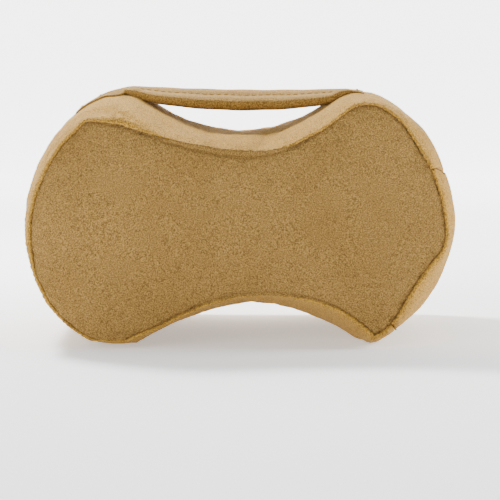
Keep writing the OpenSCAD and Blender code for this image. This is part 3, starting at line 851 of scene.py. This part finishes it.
stitch_row("front_seam_stitches", seam_path(True), ["front_seam_thread"])
stitch_row("rear_seam_stitches", seam_path(False), ["rear_seam_thread"])
stitch_row("upper_join_stitches", join_path(0.0, 1.0), ["upper_join_thread"])
stitch_row("lower_join_stitches", join_path(ZIP_START), ["lower_join_thread"])
stitch_row("zip_topstitches_front", topstitch_path(zip_front, -1), ["zip_topstitch_front"])
stitch_row("zip_topstitches_rear", topstitch_path(zip_rear, 1), ["zip_topstitch_rear"])


# ---------------------------------------------------------------- strap
SPAN_LEFT, SPAN_RIGHT, SPLIT_X = -0.058, 0.056, -0.002
LEFT_TAIL = math.radians(14)
TAIL_DROP = 0.006        # the tails are let fall this far on to the cover
STRAP_LIFT = 0.0002
TAIL_GAP, TAIL_T = 0.0003, 0.0010
LINE_LEFT, LINE_RIGHT = -0.062, 0.056    # the free span, with its top's heights and how far it sags
TOP_AT_LEFT, TOP_AT_RIGHT, TOP_SAG = 0.1474, 0.1457, 0.0052
ROLL_MID, ROLL_REACH = -0.002, 0.068
LINE_POINTS, LINE_EASE = 220, 9
COVER_TREE = BVHTree.FromObject(gusset, bpy.context.evaluated_depsgraph_get())


def tail_point(centre, r, a):
    """A place of a tail's middle line, over a lobe: x, z, thickness and no roll."""
    p = centre + (r + TAIL_GAP + TAIL_T / 2) * np.array([math.cos(a), math.sin(a)])
    return (*p, TAIL_T, 0.0)


def strap_line():
    """The strap's middle line over both lobes: x, z, thickness and how much its front edge rolls."""
    rows = []
    turn = heading(LEFT, TOP_LEFT)
    for centre, r, angles in (
            (LEFT, END_R, np.linspace(turn + LEFT_TAIL, turn, 9)),
            (TOP_LEFT, TOP_LOBE_R, np.linspace(turn, math.radians(92), 5)[1:])):
        rows += [tail_point(centre, r, a) for a in angles]
    for x in np.linspace(LINE_LEFT, LINE_RIGHT, 33):
        t = (x - LINE_LEFT) / (LINE_RIGHT - LINE_LEFT)
        top = TOP_AT_LEFT + (TOP_AT_RIGHT - TOP_AT_LEFT) * t - TOP_SAG * t * (1 - t)
        roll = max(0.0, 1 - ((x - ROLL_MID) / ROLL_REACH) ** 2) ** 0.5
        rows.append((x, top - STRAP_T / 2, STRAP_T, roll))
    rows += [tail_point(TOP_RIGHT, TOP_LOBE_R, a) for a in np.radians(np.linspace(97, 86, 4))]
    rows = np.array(rows)
    d = np.concatenate([[0], np.cumsum(np.linalg.norm(np.diff(rows[:, :2], axis=0), axis=1))])
    t = np.linspace(0, d[-1], LINE_POINTS)
    fine = np.stack([np.interp(t, d, rows[:, k]) for k in range(4)], -1)
    kernel = np.hanning(LINE_EASE)
    kernel /= kernel.sum()
    for k in range(4):
        padded = np.pad(fine[:, k], LINE_EASE // 2, mode="reflect", reflect_type="odd")
        fine[:, k] = np.convolve(padded, kernel, mode="valid")
    return fine


# Cross-section from the rear edge to the front one: place, drop at full roll, half thickness
STRAP_PLACES = np.array([0.0, 0.10, 0.30, 0.45, 0.55, 0.62, 0.67, 0.75, 0.83, 0.90, 0.96, 1.0])
STRAP_DROPS = np.array([0.3, 0.0, 0.0, 0.3, 0.7, 1.4, 2.6, 4.3, 5.8, 6.6, 6.9, 7.1]) / 1000
STRAP_HALVES = np.array([0.8, 1.5, 1.6, 1.6, 1.35, 1.05, 1.0, 2.6, 3.5, 3.8, 3.5, 2.7]) / 1000


COVER_REACH = 0.02
STRAP_ROUND, STRAP_EASE = 0.0012, 0.0006
EDGE_ANGLES = (0.5, 1.05, math.pi / 2, 2.1, 2.64)
THIN_SHARE, THIN_L = 0.6, 0.003    # the strap is pressed thin at its two sewn ends


def heights_over(tree, line, up, ys):
    """How high the cover stands above the strap's line, along its upward direction, at each depth."""
    reach = COVER_REACH
    found = np.full((len(line), len(ys)), -reach)
    for k in range(len(line)):
        for j, y in enumerate(ys):
            start = (line[k, 0] + up[k, 0] * reach, y, line[k, 1] + up[k, 1] * reach)
            hit, _, _, distance = tree.ray_cast(start, (-up[k, 0], 0, -up[k, 1]), 2 * reach)
            if hit is not None:
                found[k, j] = reach - distance
    return found


def rounded_edge(y, fall, h, end):
    """Points that round off one edge of a cross-section; end is -1 for its last point and 0 for its first."""
    dy, dz = np.gradient(y)[end], np.gradient(fall)[end]
    side = 1 if end == -1 else -1
    ty, tz = side * dy / math.hypot(dy, dz), side * dz / math.hypot(dy, dz)
    points = []
    for a in EDGE_ANGLES:
        c, out = math.cos(a), 0.8 * math.sin(a)
        points.append((y[end] + h[end] * (c * tz + out * ty), fall[end] + h[end] * (-c * ty + out * tz)))
    return points


def strap_rings(line, shrink=0.0, narrow=0.0):
    """Closed cross-sections along a stretch of the strap, which lies on the cover over each lobe."""
    run = np.concatenate([[0], np.cumsum(np.linalg.norm(np.diff(line[:, :2], axis=0), axis=1))])
    thinning = 1 - THIN_SHARE * (np.exp(-run / THIN_L) + np.exp(-(run[-1] - run) / THIN_L))
    tangent = np.gradient(line[:, :2], axis=0)
    tangent /= np.linalg.norm(tangent, axis=1, keepdims=True)
    up = np.stack([-tangent[:, 1], tangent[:, 0]], -1)
    u = np.linspace(0, 1, 34)
    drop = smooth_interp(u, STRAP_PLACES, STRAP_DROPS)
    half = smooth_interp(u, STRAP_PLACES, STRAP_HALVES)
    cover = heights_over(COVER_TREE, line, up, STRAP_Y + (STRAP_W / 2 - narrow) * (1 - 2 * u))
    rings = []
    for k in range(len(line)):
        x, z, t, roll = line[k]
        w = STRAP_W / 2 - narrow - STRAP_ROUND
        y = STRAP_Y + w * (1 - 2 * u) + 0.0004 * math.sin(x * 140) * roll
        fall = -drop * roll + 0.00012 * np.sin(x * 260 + u * 5) * roll
        h = (t / 2 + (half - STRAP_T / 2) * roll) * (1 - shrink) * thinning[k]
        free = fall - TAIL_DROP * max(0.0, 1 - 6 * roll)
        rest = cover[k] + STRAP_LIFT + (t / 2) * thinning[k]
        fall = (free + rest + np.sqrt((free - rest) ** 2 + STRAP_EASE ** 2)) / 2
        dy, dz = np.gradient(y), np.gradient(fall)
        size = np.hypot(dy, dz)
        ny, nz = dz / size, -dy / size
        upper = list(zip(y + h * ny, fall + h * nz))
        lower = list(zip(y - h * ny, fall - h * nz))[::-1]
        loop = np.array(upper + rounded_edge(y, fall, h, -1) + lower + rounded_edge(y, fall, h, 0))
        rings.append(np.stack([x + up[k, 0] * loop[:, 1], loop[:, 0], z + up[k, 1] * loop[:, 1]], -1))
    return np.array(rings)


def strap_piece(name, rings, material, nodes, close):
    faces = tube_faces(*rings.shape[:2], close)
    return add_mesh(name, rings.reshape(-1, 3), faces, material, None, nodes)


def across(obj, left):
    """Bakes a half of the strap's transform into its mesh."""
    if left:
        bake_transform(obj)
    else:
        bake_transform(obj)
    return obj


LINE = strap_line()
cut = int(np.argmin(np.abs(LINE[:, 0] - SPLIT_X)))
all_rings = strap_rings(LINE)
core_rings = strap_rings(LINE, shrink=0.6, narrow=0.004)
on_span = np.where((LINE[:, 0] > SPAN_LEFT) & (LINE[:, 0] < SPAN_RIGHT))[0]
for left, rings, core, nodes in (
        (True, all_rings[:cut + 1], core_rings[on_span[0]:cut + 1], ["strap_left_end", "strap_sleeve"]),
        (False, all_rings[cut:], core_rings[cut:on_span[-1] + 1], ["strap_right_end"])):
    word = "left" if left else "right"
    half_strap = strap_piece(f"strap_{word}_half", rings, strap_velour, nodes,
                             (left, not left))
    across(half_strap, left)
    inner = strap_piece(f"strap_elastic_{word}", core, elastic,
                        ["strap_elastic"] if left else [], (True, True))
    across(inner, left)

STITCH_PLACE = 22
STRAP_THREAD_R = 0.00032
hem_points = all_rings[:, STITCH_PLACE] + np.array([0, 0, THREAD_R * 0.3])
across(stitch_row("strap_hem_stitches_left", hem_points[on_span[0] - 8:cut + 1], ["strap_hem_thread"],
                  body=None, length=0.0026, gap=0.0016, radius=STRAP_THREAD_R, material=thread_strap), True)
across(stitch_row("strap_hem_stitches_right", hem_points[cut:on_span[-1] + 6], [],
                  body=None, length=0.0026, gap=0.0016, radius=STRAP_THREAD_R, material=thread_strap), False)


def cross_stitches(name, ring, nodes):
    path = ring[2:32][::-1] + np.array([0, 0, THREAD_R * 0.4])
    return stitch_row(name, path, nodes, length=0.0028, gap=0.0014, material=thread_strap)


cross_stitches("strap_left_stitches_outer", all_rings[6], ["strap_left_stitches"])
cross_stitches("strap_left_stitches_inner", all_rings[22], [])
cross_stitches("strap_right_stitches_row", all_rings[-5], ["strap_right_stitches"])


# ---------------------------------------------------------------- floor, light and camera
FLOOR_NEAR, FLOOR_FAR, SWEEP_R, WALL_TOP, STUDIO_HALF = -3.0, 2.2, 0.8, 4.0, 4.0
GLOW = {"From Min": 0.15, "From Max": 1.6, "To Min": 0.5, "To Max": 3.6}    # more glow further back


def studio():
    """A pale sweep: floor, a curve, and a wall behind."""
    run = [(FLOOR_NEAR, 0.0), (FLOOR_FAR, 0.0)]
    run += [(FLOOR_FAR + SWEEP_R * math.sin(a), SWEEP_R * (1 - math.cos(a)))
            for a in np.linspace(0.1, math.pi / 2, 12)]
    run.append((FLOOR_FAR + SWEEP_R, WALL_TOP))
    verts = [(x, y, z) for y, z in run for x in (-STUDIO_HALF, STUDIO_HALF)]
    faces = [(2 * i, 2 * i + 1, 2 * i + 3, 2 * i + 2) for i in range(len(run) - 1)]
    m = Nodes("pale_floor")
    grain = m.noise(6.0, 2.0, 0.5)
    m.set(Base_Color=m.ramp(grain, [(0.3, (0.93, 0.93, 0.93)), (0.7, (0.95, 0.95, 0.95))]), Roughness=0.9)
    m.bsdf.inputs["Emission Color"].default_value = (1, 1, 1, 1)
    place = m.add("ShaderNodeSeparateXYZ", Vector=m.coord)
    far = m.add("ShaderNodeMapRange", Value=place.outputs["Y"])
    for key, value in GLOW.items():
        far.inputs[key].default_value = value
    m.tree.links.new(far.outputs["Result"], m.bsdf.inputs["Emission Strength"])
    mesh = bpy.data.meshes.new("floor")
    mesh.from_pydata(verts, [], faces)
    mesh.shade_smooth()
    mesh.materials.append(m.mat)
    floor = bpy.data.objects.new("floor", mesh)
    bpy.context.scene.collection.objects.link(floor)


def aim(obj, target):
    obj.rotation_euler = (Vector(target) - Vector(obj.location)).to_track_quat("-Z", "Y").to_euler()


def area_light(name, place, target, size, power):
    light = bpy.data.lights.new(name, "AREA")
    light.shape = "RECTANGLE"
    light.size, light.size_y = size
    light.energy = power
    obj = bpy.data.objects.new(name, light)
    bpy.context.scene.collection.objects.link(obj)
    obj.location = place
    aim(obj, target)


studio()
area_light("overhead", (-0.45, 0.50, 0.90), (0, 0, 0.08), (0.25, 0.20), 29)
area_light("front_fill", (-0.9, -1.7, 0.5), (0, 0, 0.06), (1.2, 1.0), 26)
area_light("right_rim", (1.3, 0.0, 0.5), (0.1, 0, 0.07), (0.6, 0.8), 27)
SKY_STRENGTH = 0.22
world = bpy.data.worlds.new("studio")
bpy.context.scene.world = world
world.use_nodes = True
sky = world.node_tree.nodes["Background"]
sky.inputs["Color"].default_value = (1.0, 1.0, 1.0, 1.0)
sky.inputs["Strength"].default_value = SKY_STRENGTH

LENS, CAMERA_PLACE, CAMERA_TARGET = 154.9, (0.0, -1.298, 0.148), (0.005, -0.098, 0.056)
camera = bpy.data.cameras.new("camera")
camera.lens = LENS
camera.clip_end = 50
camera_obj = bpy.data.objects.new("camera", camera)
bpy.context.scene.collection.objects.link(camera_obj)
camera_obj.location = CAMERA_PLACE
aim(camera_obj, CAMERA_TARGET)
bpy.context.scene.camera = camera_obj
